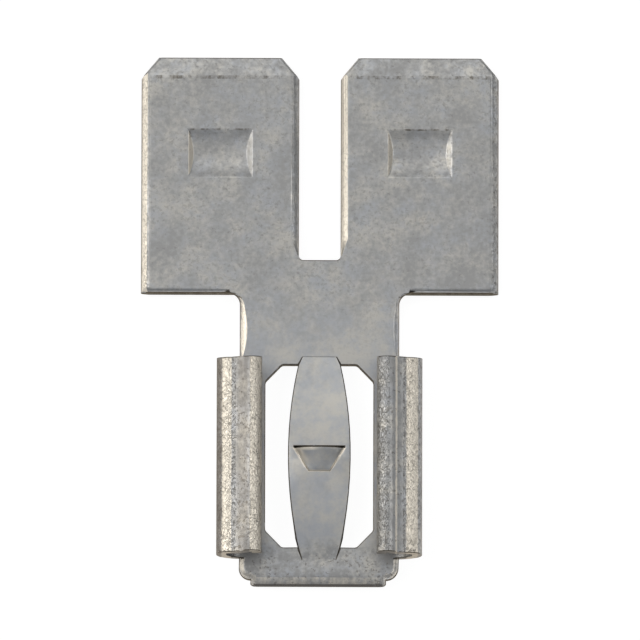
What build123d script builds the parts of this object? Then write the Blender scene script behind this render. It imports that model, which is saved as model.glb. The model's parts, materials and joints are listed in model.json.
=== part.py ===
from build123d import *
from math import cos, radians, sin, tan
import os

# Piggyback spade terminal, stamped and folded from one piece of tin-plated sheet.
# Two male tabs, each folded double, stand on the tail of a push-on receptacle whose sides are
# curled over a sprung tongue. It lies on the backs of its tabs, with the curls upwards.
# X runs across the terminal, Y from the receptacle's mouth to the tips of the tabs, and Z up from
# the surface that it lies on. Sizes are in millimetres and angles in degrees.

# Sheet, and the closed seam between the two layers of a tab
sheet = 0.39
seam = 0.02

# Male tabs and the slot between them
tab_width = 6.3
tab_length = 9.53
slot_width = 1.66
slot_depth = 8.22
slot_corner = 0.18
slot_edge_round = 0.34
flap_edge_round = 0.2
edge_fade = 0.7
edge_foot_share = 0.2
tip_corner_width = 0.69
tip_corner_length = 0.9
tip_bevel_length = 0.84
tip_bevel_depth = 0.15
tip_corner_round = 0.12

# Trough-shaped dimple pressed into the front of each tab
dimple_from_tip = 3.92
dimple_width = 2.56
dimple_length = 1.93
dimple_depth = 0.22
dimple_end_slope = 45.0

# Neck between the tabs and the receptacle, with rolled-off sides that leave a waist
neck_width = 6.36
neck_length = 2.78
neck_corner = 0.45
waist_depth = 0.3
waist_corner_inset = 0.2
waist_foot_inset = 0.06
waist_steps = 5

# Receptacle floor and the curl on each side, seen from the mouth
receptacle_width = 8.19
curl_length = 7.92
lower_bend = 0.955
curl_rise = 0.1
shoulder_bend = 0.36
shoulder_turn = 110.0
valley_bend = 0.35
valley_turn = 80.0
crest_slope = 0.2
hook_bend = 0.22
hook_turn = 150.0
hook_tail = 0.34

# Window in the floor, and the sprung tongue that bridges it
window_width = 4.3
window_tail_margin = 0.14
window_mouth_margin = 0.43
window_corner_width = 0.66
window_corner_length = 0.68
window_corner_round = 0.2
tongue_width = 2.5
tongue_root_width = 1.69
tongue_tail_root = 0.355
tongue_mouth_root = 0.525
tongue_root_taper = 0.16
tongue_angle = 12.0
tongue_ramp = 1.2
tongue_root_bend = 0.6

# Detent lanced up out of the tongue, steep towards the tabs and sloping towards the mouth
detent_from_middle = 0.27
detent_length = 0.94
detent_width = 2.0
detent_foot_width = 0.85
detent_height = 0.34
detent_foot_height = 0.03
detent_gap = 0.05

# Mouth: the floor runs on past the curls and turns down in a narrower lip
mouth_length = 0.85
mouth_edge_round = 0.28
lip_width = 5.4
lip_length = 0.3
lip_bend = 0.9
lip_angle = 35.0

# Slack past a face for a cut, and overlap between two features of the sheet that are joined
slack = 1.0
joint = 0.3

# Closeness that counts as equal when edges are picked out
near = 0.01

# Heights of the upper layer of the sheet
top = 2 * sheet + seam
underside = sheet + seam
middle = underside + sheet / 2

# Largest rounding that an edge of the sheet can take
widest_round = 0.9 * sheet

# Places across and along the terminal
slot_side = slot_width / 2
fold_side = slot_side + tab_width
neck_side = neck_width / 2
lip_side = lip_width / 2
window_side = window_width / 2
curl_start = receptacle_width / 2 - lower_bend - sheet / 2

length = lip_length + mouth_length + curl_length + neck_length + tab_length
lip_y = -length / 2
lip_shoulder_y = lip_y + lip_length
curl_low_y = lip_shoulder_y + mouth_length
curl_high_y = curl_low_y + curl_length
tab_low_y = curl_high_y + neck_length
tip_y = tab_low_y + tab_length
slot_y = tip_y - slot_depth
window_low_y = curl_low_y + window_mouth_margin
window_high_y = curl_high_y - window_tail_margin
window_middle_y = (window_low_y + window_high_y) / 2
detent_y = window_middle_y + detent_from_middle


def bent_strip(start, heading, legs):
    """Face of the sheet seen edge-on, from its middle line.

    Each leg is a pair: a length and 0 for a straight, or a radius and a turn for a bend, positive
    to the left.
    """
    left, right = [], []
    place = Vector(*start)
    for size, turn in legs:
        normal = Vector(1, 0).rotate(Axis.Z, heading + 90)
        if turn == 0:
            run = Vector(1, 0).rotate(Axis.Z, heading) * size
            left.append(Line(place + normal * sheet / 2, place + normal * sheet / 2 + run))
            right.append(Line(place - normal * sheet / 2, place - normal * sheet / 2 + run))
            place = place + run
            continue
        side = 1 if turn > 0 else -1
        centre = place + normal * side * size
        spoke = normal * -side
        for edges, radius in ((left, size - side * sheet / 2), (right, size + side * sheet / 2)):
            stops = [centre + spoke.rotate(Axis.Z, turn * share) * radius for share in (0, 0.5, 1)]
            edges.append(ThreePointArc(*stops))
        place = centre + spoke.rotate(Axis.Z, turn) * size
        heading += turn
    ends = [Line(left[-1] @ 1, right[-1] @ 1), Line(right[0] @ 0, left[0] @ 0)]
    return make_face(left + right + ends)


def symmetric_face(right):
    """Face whose outline is a chain of edges down the right side and its mirror image."""
    left = [mirror(edge, Plane.YZ) for edge in right]
    ends = [Line(left[0] @ 0, right[0] @ 0), Line(left[-1] @ 1, right[-1] @ 1)]
    return make_face(right + left + ends)


def prism(face, low, high):
    """Solid with a plan outline between two heights."""
    return extrude(Pos(0, 0, low) * face, high - low)


def both_sides(solid):
    """Solid on the right with its twin on the left."""
    return solid + mirror(solid, Plane.YZ)


def side_prism(points, half_width):
    """Solid across the terminal with a YZ outline, centred on X."""
    face = Plane.YZ * make_face(Polyline(*points, close=True))
    return extrude(face, half_width, both=True)


def edge_cutter(radius):
    """Section between a square corner at the origin and its rounding, in the quadrant -X, -Y."""
    return make_face(
        [
            Polyline((0, -radius), (slack, -radius), (slack, slack), (-radius, slack), (-radius, 0)),
            CenterArc((-radius, -radius), radius, 0, 90),
        ]
    )


def tip_corner():
    """Cuts for the slanted corners of the right tab's tip."""
    cuts = []
    for side, inwards in ((slot_side, 1), (fold_side, -1)):
        points = [
            (side + inwards * tip_corner_width, tip_y),
            (side, tip_y - tip_corner_length),
            (side - inwards * slack, tip_y - tip_corner_length),
            (side - inwards * slack, tip_y + slack),
            (side + inwards * tip_corner_width, tip_y + slack),
        ]
        cuts.append(prism(make_face(Polyline(*points, close=True)), -slack, top + slack))
    return cuts


def tip_bevels():
    """Cuts for the bevels on the front and back of the tips."""
    slope = tip_bevel_depth / tip_bevel_length
    start, end = tip_y - tip_bevel_length, tip_y + slack
    rise = (end - start) * slope
    front = [(start, top), (end, top - rise), (end, top + slack), (start, top + slack)]
    back = [(start, 0), (end, rise), (end, -slack), (start, -slack)]
    return [side_prism(points, fold_side + slack) for points in (front, back)]


def tip_corner_edges(body):
    """Front and back edges of the tip's slanted corners, without those in the seam."""
    slope = tip_corner_length / tip_corner_width
    chosen = []
    for edge in body.edges().filter_by(GeomType.LINE):
        run = edge @ 1 - edge @ 0
        slanted = abs(abs(run.Y) - slope * abs(run.X)) < near * abs(run.Y)
        if slanted and abs(edge.center().Z - top / 2) > sheet / 2:
            chosen.append(edge)
    return chosen


def dimple():
    """Cut for the right tab's dimple: a round trough along X with sloping ends."""
    across = slot_side + tab_width / 2
    along = tip_y - dimple_from_tip
    radius = (dimple_length**2 / 4 + dimple_depth**2) / (2 * dimple_depth)
    roller = Rot(0, 90, 0) * Cylinder(radius, 2 * dimple_width)
    trough = Pos(across, along, top - dimple_depth + radius) * roller
    inset = dimple_depth / tan(radians(dimple_end_slope))
    low, high = dimple_width / 2 - inset, dimple_width / 2 + inset
    outline = Polyline(
        (across - low, top - dimple_depth),
        (across + low, top - dimple_depth),
        (across + high, top + dimple_depth),
        (across - high, top + dimple_depth),
        close=True,
    )
    ends = extrude(Plane.XZ * make_face(outline), dimple_length, both=True)
    return trough & Pos(0, along, 0) * ends


def tab():
    """Right male tab: the sheet turned back on itself at the outer edge."""
    layer = tab_width - top / 2
    fold = (sheet + seam) / 2
    section = Plane.XZ * bent_strip((slot_side, middle), 0, [(layer, 0), (fold, -180), (layer, 0)])
    body = Pos(0, tab_low_y, 0) * extrude(section, tab_length, dir=(0, 1, 0))
    rear = body.edges().filter_by(Axis.Y).group_by(Axis.Z)[0].sort_by(Axis.X)[0]
    body = fillet(rear, min(flap_edge_round, widest_round))
    body = body - tip_corner() - tip_bevels()
    body = fillet(tip_corner_edges(body), tip_corner_round)
    return body - dimple()


def web():
    """Sheet that joins the two tabs at the closed end of the slot."""
    reach = slot_side + joint
    return prism(symmetric_face([Line((reach, slot_y + joint), (reach, tab_low_y))]), underside, top)


def slot():
    """Cut for the slot, with its small corner radii."""
    face = symmetric_face([Line((slot_side, tip_y + slack), (slot_side, slot_y))])
    face = fillet(face.vertices().group_by(Axis.Y)[0], slot_corner)
    return prism(face, -slack, top + slack)


def slot_edge_section(along, radius):
    """Cutter's section at the right tab's front edge beside the slot."""
    return Plane((slot_side, along, top), x_dir=(-1, 0, 0), z_dir=(0, 1, 0)) * edge_cutter(radius)


def slot_edge():
    """Cut that rounds the front edge of the right tab beside the slot and fades at its foot."""
    foot_y = slot_y + slot_corner
    full = slot_edge_section(foot_y + edge_fade, slot_edge_round)
    foot = slot_edge_section(foot_y, slot_edge_round * edge_foot_share)
    upper = extrude(full, slot_depth, dir=(0, 1, 0))
    return [upper, loft([full, foot], ruled=True)]


def neck_outline(share):
    """Plan of the neck at one height: share is 0 at the back of the sheet and 1 at its front."""
    corner = (neck_side - waist_corner_inset * share, tab_low_y - neck_corner - waist_corner_inset * share)
    foot = (neck_side - waist_foot_inset * share, curl_high_y)
    shoulder = (neck_side + neck_corner, tab_low_y)
    waist = (neck_side - waist_depth * share, (corner[1] + foot[1]) / 2)
    pull = (2 * waist[0] - (corner[0] + foot[0]) / 2, waist[1])
    right = [
        Line((neck_side + neck_corner, tab_low_y + joint), shoulder),
        TangentArc(shoulder, corner, tangent=(-1, 0)),
        Bezier(corner, pull, foot),
        Line(foot, (foot[0], curl_high_y - joint)),
    ]
    return symmetric_face(right)


def neck():
    """Neck as a stack of outlines that draw in towards the front, which rounds its sides."""
    sections = []
    for step in range(waist_steps):
        angle = radians(90 * step / (waist_steps - 1))
        sections.append(Pos(0, 0, underside + sheet * sin(angle)) * neck_outline(1 - cos(angle)))
    return loft(sections)


def curl():
    """Right half of the receptacle's floor with its side curled over."""
    legs = [
        (curl_start, 0),
        (lower_bend, 90),
        (curl_rise, 0),
        (shoulder_bend, shoulder_turn),
        (valley_bend, -valley_turn),
        (crest_slope, 0),
        (hook_bend, hook_turn),
        (hook_tail, 0),
    ]
    section = Plane.XZ * bent_strip((0, middle), 0, legs)
    return Pos(0, curl_low_y, 0) * extrude(section, curl_length, dir=(0, 1, 0))


def mouth_side_edges(body):
    """Upper edges at both sides of the mouth, down to the end of the lip."""
    upper = body.faces().filter_by(lambda face: face.normal_at().Z > near)
    return [edge for edge in upper.edges() if abs(edge.center().X) > lip_side - near]


def mouth():
    """Floor in front of the curls, with rounded corners and the lip turned down."""
    reach = (lip_bend + sheet / 2) * sin(radians(lip_angle))
    run = curl_low_y + joint - lip_y - reach
    legs = [(run, 0), (lip_bend, lip_angle)]
    profile = Plane.YZ * bent_strip((curl_low_y + joint, middle), 180, legs)
    step = neck_side - lip_side
    right = [
        Line((neck_side, curl_low_y + joint), (neck_side, lip_shoulder_y + step)),
        CenterArc((lip_side, lip_shoulder_y + step), step, 0, -90),
        Line((lip_side, lip_shoulder_y), (lip_side, lip_y - slack)),
    ]
    body = extrude(profile, neck_side, both=True) & prism(symmetric_face(right), -slack, top + slack)
    return fillet(mouth_side_edges(body), min(mouth_edge_round, widest_round))


def window():
    """Cut for the window in the floor, with slanted corners."""
    side, low, high = window_side, window_low_y, window_high_y
    across, along = window_corner_width, window_corner_length
    right = Polyline((side - across, high), (side, high - along), (side, low + along), (side - across, low))
    face = symmetric_face([right])
    face = fillet(face.vertices(), window_corner_round)
    return prism(face, -slack, top + slack)


def tongue_span():
    """Y of the tongue's two root creases, nearer the mouth first."""
    return window_low_y - tongue_mouth_root, window_high_y + tongue_tail_root


def tongue_crest():
    """Radius of the tongue's bowed middle."""
    low, high = tongue_span()
    angle = radians(tongue_angle)
    return ((high - low) / 2 - tongue_root_bend * sin(angle) - tongue_ramp * cos(angle)) / sin(angle)


def tongue_rise():
    """Height of the bowed middle over the floor."""
    angle = radians(tongue_angle)
    return (tongue_root_bend + tongue_crest()) * (1 - cos(angle)) + tongue_ramp * sin(angle)


def tongue_profile():
    """Tongue seen from the side: root bend, ramp, bowed middle, ramp and root bend."""
    low = tongue_span()[0]
    legs = [
        (tongue_root_bend, tongue_angle),
        (tongue_ramp, 0),
        (tongue_crest(), -2 * tongue_angle),
        (tongue_ramp, 0),
        (tongue_root_bend, tongue_angle),
    ]
    return Plane.YZ * bent_strip((low, middle), 0, legs)


def tongue():
    """Leaf-shaped tongue bowed up over the window, with its detent."""
    low, high = tongue_span()
    root = tongue_root_width / 2
    foot = root - tongue_root_taper
    right = [
        Line((foot, high), (root, window_high_y)),
        ThreePointArc((root, window_high_y), (tongue_width / 2, window_middle_y), (root, window_low_y)),
        Line((root, window_low_y), (foot, low)),
    ]
    leaf = prism(symmetric_face(right), -slack, top + slack + tongue_rise())
    body = extrude(tongue_profile(), tongue_width, both=True) & leaf
    surface = top + tongue_rise()
    body += detent_form(surface, sheet / 2, 0)
    body -= detent_form(surface - sheet, slack, sheet)
    return body - detent_cut()


def detent_section(width, height, surface, depth, along):
    """Upright arch across the terminal that springs from a surface, with legs down to a depth."""
    right, left = (width / 2, 0), (-width / 2, 0)
    legs = Polyline(left, (-width / 2, -depth), (width / 2, -depth), right)
    face = make_face([legs, ThreePointArc(right, (0, height), left)])
    return Plane((0, along, surface), x_dir=(1, 0, 0), z_dir=(0, -1, 0)) * face


def detent_form(surface, depth, narrowing):
    """Half cone that rises from the mouth side to a steep end, or the hollow under it."""
    steep = detent_section(detent_width - narrowing, detent_height, surface, depth, detent_y)
    foot_y = detent_y - detent_length
    foot = detent_section(detent_foot_width - narrowing, detent_foot_height, surface, depth, foot_y)
    return loft([steep, foot], ruled=True)


def detent_cut():
    """Lance cut across the tongue at the detent's steep end."""
    return Pos(0, detent_y + detent_gap / 2, top + tongue_rise()) * Box(detent_width, detent_gap, 2 * sheet)


def terminal():
    """The whole terminal as one folded sheet."""
    body = both_sides(tab()) + web() + neck() + both_sides(curl()) + mouth()
    body -= slot()
    for cut in slot_edge():
        body -= both_sides(cut)
    body = body - window() + tongue()
    return body.clean()


os.makedirs("parts", exist_ok=True)
export_step(terminal(), "parts/terminal.step")
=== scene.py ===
"""Looks of a piggyback spade terminal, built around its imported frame.

The terminal is one folded sheet, so one piece stands for the frame's one node. Its classes follow
the sheet's own features: the folded tabs, the neck, the curled sides, the window with its sprung
tongue, and the mouth. Each class holds the sizes of its feature, finishes its shape as the press
leaves it, and says which of its walls are sheared. Sizes are in metres.
"""

import json
import logging
import math
from dataclasses import dataclass, field
from enum import Enum

import bmesh
import bpy
from mathutils import Matrix, Vector
from mathutils.bvhtree import BVHTree

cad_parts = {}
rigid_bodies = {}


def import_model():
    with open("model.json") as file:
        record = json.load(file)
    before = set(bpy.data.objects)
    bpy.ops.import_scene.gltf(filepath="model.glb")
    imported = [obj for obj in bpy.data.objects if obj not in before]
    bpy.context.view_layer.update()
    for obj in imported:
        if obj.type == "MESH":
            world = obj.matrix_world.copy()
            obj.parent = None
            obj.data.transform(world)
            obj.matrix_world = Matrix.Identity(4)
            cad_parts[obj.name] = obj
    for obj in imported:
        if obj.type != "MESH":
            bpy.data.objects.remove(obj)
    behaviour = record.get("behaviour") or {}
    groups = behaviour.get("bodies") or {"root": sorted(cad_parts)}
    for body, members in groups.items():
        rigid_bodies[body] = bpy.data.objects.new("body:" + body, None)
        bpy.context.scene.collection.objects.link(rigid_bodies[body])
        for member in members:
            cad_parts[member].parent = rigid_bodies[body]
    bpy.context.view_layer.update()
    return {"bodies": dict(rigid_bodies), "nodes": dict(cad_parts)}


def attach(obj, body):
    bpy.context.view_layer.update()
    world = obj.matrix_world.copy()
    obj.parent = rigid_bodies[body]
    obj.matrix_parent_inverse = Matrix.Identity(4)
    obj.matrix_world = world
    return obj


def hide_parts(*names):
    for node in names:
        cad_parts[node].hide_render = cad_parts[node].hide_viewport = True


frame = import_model()

Socket = bpy.types.NodeSocket
Tree = bpy.types.NodeTree
Material = bpy.types.Material
Points = list[bmesh.types.BMVert]

MM = 0.001
NODE = "terminal"
BODY = "root"
GRAZING_TINT = (0.62, 0.57, 0.5, 1.0)
WARMTH_SHIFT = (17.0, 5.0, 31.0)
ALONG_STRETCH = (1.0, 0.6, 1.0)
NEAR = 0.02 * MM
CLEAR = 0.05 * MM
FACES_FRONT = 0.4
MIDDLE = 0.5
FLOAT = "NodeSocketFloat"
IN = "INPUT"
OUT = "OUTPUT"

log = logging.getLogger("terminal")


class Mark(Enum):
    """Names of the surface marks that the finishes read."""

    RUB_AND_HIGHLIGHT = "rub_mark"
    CREASE = "crease_mark"
    CURL = "curl_mark"
    PEEL = "peel_mark"
    STEEP = "steep_mark"
    WALL = "wall_mark"


class Graph:
    """Adds and links the nodes of one shader or geometry tree."""

    def __init__(self, tree: Tree) -> None:
        """Keep the tree that the nodes go into."""
        self.tree = tree

    def add(self, kind: str, inputs: dict | None = None, **settings: object) -> bpy.types.Node:
        """Add one node.

        Args:
            kind: The node's type name.
            inputs: Values or sockets for its inputs, by socket name or number.
            **settings: Properties of the node itself.

        Returns:
            The new node.
        """
        node = self.tree.nodes.new(kind)
        for name, value in settings.items():
            setattr(node, name, value)
        for key, value in (inputs or {}).items():
            if isinstance(value, Socket):
                self.tree.links.new(value, node.inputs[key])
            else:
                node.inputs[key].default_value = value
        return node

    def math(self, operation: str, *values: object, clamp: bool = False) -> Socket:
        """Add a Math node and give its result, kept from 0 to 1 where clamp says so."""
        node = self.add("ShaderNodeMath", dict(enumerate(values)), operation=operation, use_clamp=clamp)
        return node.outputs[0]

    def product(self, first: object, second: object) -> Socket:
        """Multiply two numbers or sockets."""
        return self.math("MULTIPLY", first, second)

    def larger(self, first: object, second: object) -> Socket:
        """Give the larger of two numbers or sockets."""
        return self.math("MAXIMUM", first, second)

    def gap(self, first: object, second: object) -> Socket:
        """Give the distance between two numbers or sockets."""
        return self.math("ABSOLUTE", self.math("SUBTRACT", first, second))

    def vector(self, operation: str, inputs: dict) -> Socket:
        """Add a Vector Math node, whose inputs go by name or number, and give its vector."""
        return self.add("ShaderNodeVectorMath", inputs, operation=operation).outputs["Vector"]

    def use(self, tree: Tree, **inputs: object) -> bpy.types.bpy_prop_collection:
        """Place a group and give its outputs; its inputs are values or sockets by name."""
        return self.add("ShaderNodeGroup", inputs, node_tree=tree).outputs

    def part(self, place: object, axis: int) -> Socket:
        """Give one part of a vector: 0 across, 1 along or 2 up."""
        return self.add("ShaderNodeSeparateXYZ", {0: place}).outputs[axis]

    def ramp(
        self, value: object, low: object, high: object, start: object = 0.0, end: object = 1.0
    ) -> Socket:
        """Run smoothly from start to end as a value goes from low to high, and stay level beyond them."""
        inputs = {0: value, 1: low, 2: high, 3: start, 4: end}
        return self.add("ShaderNodeMapRange", inputs, interpolation_type="SMOOTHSTEP").outputs[0]

    def fall(self, value: object, low: object, high: object) -> Socket:
        """Run smoothly from 1 down to 0 as a value goes from low to high."""
        return self.ramp(value, low, high, 1.0, 0.0)

    def blend(self, share: object, first: object, second: object) -> Socket:
        """Mix two colours, with share as the second one's part."""
        node = self.add("ShaderNodeMix", {0: share, 6: first, 7: second}, data_type="RGBA")
        return node.outputs[2]

    def noise(self, place: object, scale: object, detail: float, roughness: float = 0.5) -> Socket:
        """Add a Noise Texture of scale cells to a unit, with finer layers in it, and give its value."""
        inputs = {"Vector": place, "Scale": scale, "Detail": detail, "Roughness": roughness}
        return self.add("ShaderNodeTexNoise", inputs).outputs[0]


class Group(Graph):
    """A node group whose first input is a vector or a geometry, and whose others are named numbers."""

    def __init__(self, name: str, kind: str, through: tuple[str, str], numbers: dict[str, float]) -> None:
        """Make the group with its inputs.

        Args:
            name: The group's name.
            kind: The tree's type name.
            through: Name and type of the first input.
            numbers: The other inputs' names and defaults.
        """
        super().__init__(bpy.data.node_groups.new(name, kind))
        self.tree.interface.new_socket(through[0], in_out=IN, socket_type=through[1])
        for label, default in numbers.items():
            made = self.tree.interface.new_socket(label, in_out=IN, socket_type=FLOAT)
            made.default_value = default
        self.inputs = {s.name: s for s in self.add("NodeGroupInput").outputs if s.name}

    def close(self, outputs: dict[str, object], kind: str = FLOAT) -> Tree:
        """Give the group its outputs.

        Args:
            outputs: Their names and the sockets that feed them.
            kind: Their type.

        Returns:
            The finished tree.
        """
        for label in outputs:
            self.tree.interface.new_socket(label, in_out=OUT, socket_type=kind)
        self.add("NodeGroupOutput", outputs)
        return self.tree


def shader_group(name: str, **numbers: float) -> Group:
    """Start a shader group on Place, in millimetres; an underscore stands for a space in an input's name."""
    named = {key.replace("_", " "): value for key, value in numbers.items()}
    return Group(name, "ShaderNodeTree", ("Place", "NodeSocketVector"), named)


@dataclass(frozen=True)
class Spans:
    """Where the ramps of the shader groups start and end; places are in millimetres."""

    cell_dome: tuple[float, float] = (0.0, 0.3)
    crack_width: tuple[float, float] = (0.03, 0.2)
    crack_holds: tuple[float, float] = (0.44, 0.6)
    cluster: tuple[float, float] = (0.42, 0.62)
    cluster_shift: tuple[float, float] = (-0.04, 0.05)
    lance_outline: tuple[float, float] = (-0.02, 0.03)
    lance_flank: tuple[float, float] = (0.12, 0.36)
    lance_flank_down: tuple[float, float] = (0.35, 0.8)
    lance_edge_down: tuple[float, float] = (0.1, 0.18)
    lance_edge_across: tuple[float, float] = (-0.35, 0.1)
    lance_rim_outside: tuple[float, float] = (-0.12, -0.04)
    lance_rim_inside: tuple[float, float] = (0.0, 0.04)
    lance_rim_down: tuple[float, float] = (0.7, 0.95)
    curl_flank: tuple[float, float] = (-0.06, 0.12)
    curl_step: tuple[float, float] = (0.1, 0.4)


class SurfaceEffects:
    """The shader groups that both finishes share. Their coordinates are in millimetres."""

    def __init__(self) -> None:
        """Build each group once."""
        self.cloud = self._cloud()
        self.peel = self._peel()
        self.specks = self._specks()
        self.broken = self._broken()
        self.curl = self._curl()
        self.handling = self._handling()
        self.lance = self._lance()

    @staticmethod
    def _cloud() -> Tree:
        """Build the cloudy tone of matt plating.

        Returns:
            A group whose Tone is about 0.5, lighter and darker in patches and in fine grain.
        """
        group = shader_group("Plating cloud", Patch=0.8, Grain=5.0, Warm_Patch=0.9, Contrast=1.0)
        ends = group.inputs
        patches = group.noise(ends["Place"], ends["Patch"], detail=3.0, roughness=0.6)
        grain = group.noise(ends["Place"], ends["Grain"], detail=4.0, roughness=0.65)
        shifted = group.vector("ADD", {0: ends["Place"], 1: WARMTH_SHIFT})
        warmth = group.noise(shifted, ends["Warm Patch"], detail=4.0, roughness=0.7)
        by_patch = group.math("SUBTRACT", patches, MIDDLE)
        both = group.math("ADD", by_patch, group.math("SUBTRACT", grain, MIDDLE))
        tone = group.math("MULTIPLY_ADD", both, ends["Contrast"], MIDDLE, clamp=True)
        return group.close({"Tone": tone, "Warmth": warmth, "Height": grain})

    @staticmethod
    def _peel() -> Tree:
        """Build the orange peel that a tight bend leaves.

        Returns:
            A group with the peel's Height, and Cracks that are 1 in the hollows between its cells.
        """
        warp = {"Warp": 4.0, "Warp_Reach": 0.3}
        group = shader_group("Orange peel", Cells=9.5, Amount=1.0, Fine=9.0, Fine_Share=0.8, **warp)
        ends = group.inputs
        long = group.vector("MULTIPLY", {0: ends["Place"], 1: ALONG_STRETCH})
        drift = group.add("ShaderNodeTexNoise", {"Vector": long, "Scale": ends["Warp"], "Detail": 2.0})
        offset = group.vector("SCALE", {0: drift.outputs[1], "Scale": ends["Warp Reach"]})
        place = group.vector("ADD", {0: long, 1: offset})
        inputs = {"Vector": place, "Scale": ends["Cells"]}
        from_edge = group.add("ShaderNodeTexVoronoi", inputs, feature="DISTANCE_TO_EDGE").outputs[0]
        fine = group.noise(place, ends["Fine"], detail=2.0, roughness=0.6)
        domes = group.ramp(from_edge, *Spans.cell_dome)
        height = group.math("MULTIPLY_ADD", fine, ends["Fine Share"], domes)
        hollows = group.fall(from_edge, *Spans.crack_width)
        cracks = group.product(hollows, group.ramp(fine, *Spans.crack_holds))
        amount = ends["Amount"]
        return group.close({"Height": group.product(height, amount), "Cracks": group.product(cracks, amount)})

    @staticmethod
    def _specks() -> Tree:
        """Build small ragged nicks, in loose clusters.

        Returns:
            A group whose Mask is 1 in the nicks.
        """
        group = shader_group("Nicks", Density=8.0, Limit=0.6, Cluster=0.8, Ragged=0.06)
        ends = group.inputs
        nicks = group.noise(ends["Place"], ends["Density"], detail=2.0, roughness=0.6)
        loose = group.noise(ends["Place"], ends["Cluster"], detail=2.0)
        clusters = group.ramp(loose, *Spans.cluster, *Spans.cluster_shift)
        over = group.math("SUBTRACT", group.math("ADD", nicks, clusters), ends["Limit"])
        return group.close({"Mask": group.ramp(over, 0.0, ends["Ragged"])})

    @staticmethod
    def _broken() -> Tree:
        """Break a mark up along a line into ragged patches: the painted highlights, partly wear, and the
        painted shade of creases.

        Returns:
            A group whose Mask is 1 where the mark holds.
        """
        group = shader_group("Broken mark", Mark=0.0, Amount=0.6, Grain=4.5, Ragged=0.25)
        ends = group.inputs
        long = group.vector("MULTIPLY", {0: ends["Place"], 1: ALONG_STRETCH})
        rough = group.noise(long, ends["Grain"], detail=3.0, roughness=0.6)
        limit = group.math("SUBTRACT", 1.0, ends["Amount"])
        reach = group.product(ends["Mark"], group.math("ADD", rough, MIDDLE))
        return group.close({"Mask": group.ramp(group.math("SUBTRACT", reach, limit), 0.0, ends["Ragged"])})

    @staticmethod
    def _handling() -> Tree:
        """Build the share of handling wear: most on the tabs, least on the tongue.

        Returns:
            A group whose Mask follows the place along the terminal.
        """
        shares = {"Tongue": 0.15, "Tabs": 1.0, "Mouth": 2.0}
        group = shader_group("Handling wear", Neck_Reach=2.5, Lip=-9.8, Floor=-8.6, **shares)
        ends = group.inputs
        along = group.part(ends["Place"], 1)
        start = group.product(ends["Neck Reach"], -1.0)
        tabs = group.ramp(along, start, ends["Neck Reach"], ends["Tongue"], ends["Tabs"])
        mouth = group.ramp(along, ends["Lip"], ends["Floor"], ends["Mouth"], ends["Tongue"])
        return group.close({"Mask": group.larger(tabs, mouth)})

    @staticmethod
    def _lance() -> Tree:
        """Build the painted highlight on the detent: most at its left corner, and along its lanced edge and
        its rim.

        Returns:
            A group whose output is 1 where the highlight is painted.
        """
        sizes = {"Half_Width": 1.0, "Half_Foot": 0.425, "Lance": -5.165, "Length": 0.94, "Lowest": 1.2}
        group = shader_group("Lance wear", Edge=0.8, Rim=0.85, **sizes)
        ends = group.inputs
        x = group.part(ends["Place"], 0)
        along = group.math("SUBTRACT", ends["Lance"], group.part(ends["Place"], 1))
        narrows = group.math("SUBTRACT", ends["Half Width"], ends["Half Foot"])
        taper = group.math("DIVIDE", narrows, ends["Length"])
        side = group.math("MULTIPLY_ADD", group.product(along, -1.0), taper, ends["Half Width"])
        inside = group.math("SUBTRACT", side, group.math("ABSOLUTE", x))

        outline = group.ramp(inside, *Spans.lance_outline)
        within = group.product(outline, group.math("LESS_THAN", x, 0.0))
        flank = group.fall(inside, *Spans.lance_flank)
        flank = group.product(flank, group.fall(along, *Spans.lance_flank_down))
        on_edge = group.ramp(along, *Spans.lance_edge_down, ends["Edge"], 0.0)
        edge = group.product(on_edge, group.fall(x, *Spans.lance_edge_across))
        shine = group.product(group.larger(flank, edge), within)
        rim = group.ramp(inside, *Spans.lance_rim_outside)
        rim = group.product(rim, group.fall(inside, *Spans.lance_rim_inside))
        rim = group.product(rim, group.ramp(along, *Spans.lance_rim_down, ends["Rim"], 0.0))
        on_tongue = group.math("GREATER_THAN", group.part(ends["Place"], 2), ends["Lowest"])
        below_lance = group.math("GREATER_THAN", along, 0.0)
        held = group.product(on_tongue, below_lance)
        return group.close({"Rub and highlight": group.product(group.larger(shine, rim), held)})

    @staticmethod
    def _curl() -> Tree:
        """Build the bands along the curls: painted highlight, partly the curling die's wear, on the crests
        and the hooks, and painted shade down the left curl's outer flank and step.

        Returns:
            A group whose first output, the painted highlight, is 1 along the crests and the hooks, and whose
            second, the painted shade, is 1 down the left outer flank and step.
        """
        # The left hook takes more painted highlight than the right.
        sides = {"Left_Reach": 0.32, "Left_Hook": 2.54, "Left_Hook_Reach": 0.42, "Left_Hook_Rub": 0.85}
        sides |= {"Right_Reach": 0.4, "Right_Hook": 3.06, "Right_Hook_Reach": 0.12, "Right_Hook_Rub": 0.5}
        group = shader_group("Curl wear", Mark=0.0, Crest=3.69, Flank=3.84, Step=3.04, Step_Dull=0.6, **sides)
        ends = group.inputs
        x = group.part(ends["Place"], 0)
        across = group.math("ABSOLUTE", x)
        right = group.math("GREATER_THAN", x, 0.0)
        left = group.math("SUBTRACT", 1.0, right)

        def sided(name: str) -> Socket:
            """Give an input's left or right value, by the side that the place is on."""
            on_left = group.product(left, ends["Left " + name])
            return group.math("MULTIPLY_ADD", right, ends["Right " + name], on_left)

        on_crest = group.fall(group.gap(across, ends["Crest"]), 0.0, sided("Reach"))
        from_hook = group.gap(across, sided("Hook"))
        on_hook = group.ramp(from_hook, 0.0, sided("Hook Reach"), sided("Hook Rub"), 0.0)
        outer = group.ramp(group.math("SUBTRACT", across, ends["Flank"]), *Spans.curl_flank)
        step = group.ramp(group.gap(across, ends["Step"]), *Spans.curl_step, ends["Step Dull"], 0.0)
        rub_and_highlight = group.product(group.larger(on_crest, on_hook), ends["Mark"])
        painted_shade = group.product(group.product(group.larger(outer, step), left), ends["Mark"])
        return group.close({"Rub and highlight": rub_and_highlight, "Painted Shade": painted_shade})


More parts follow.
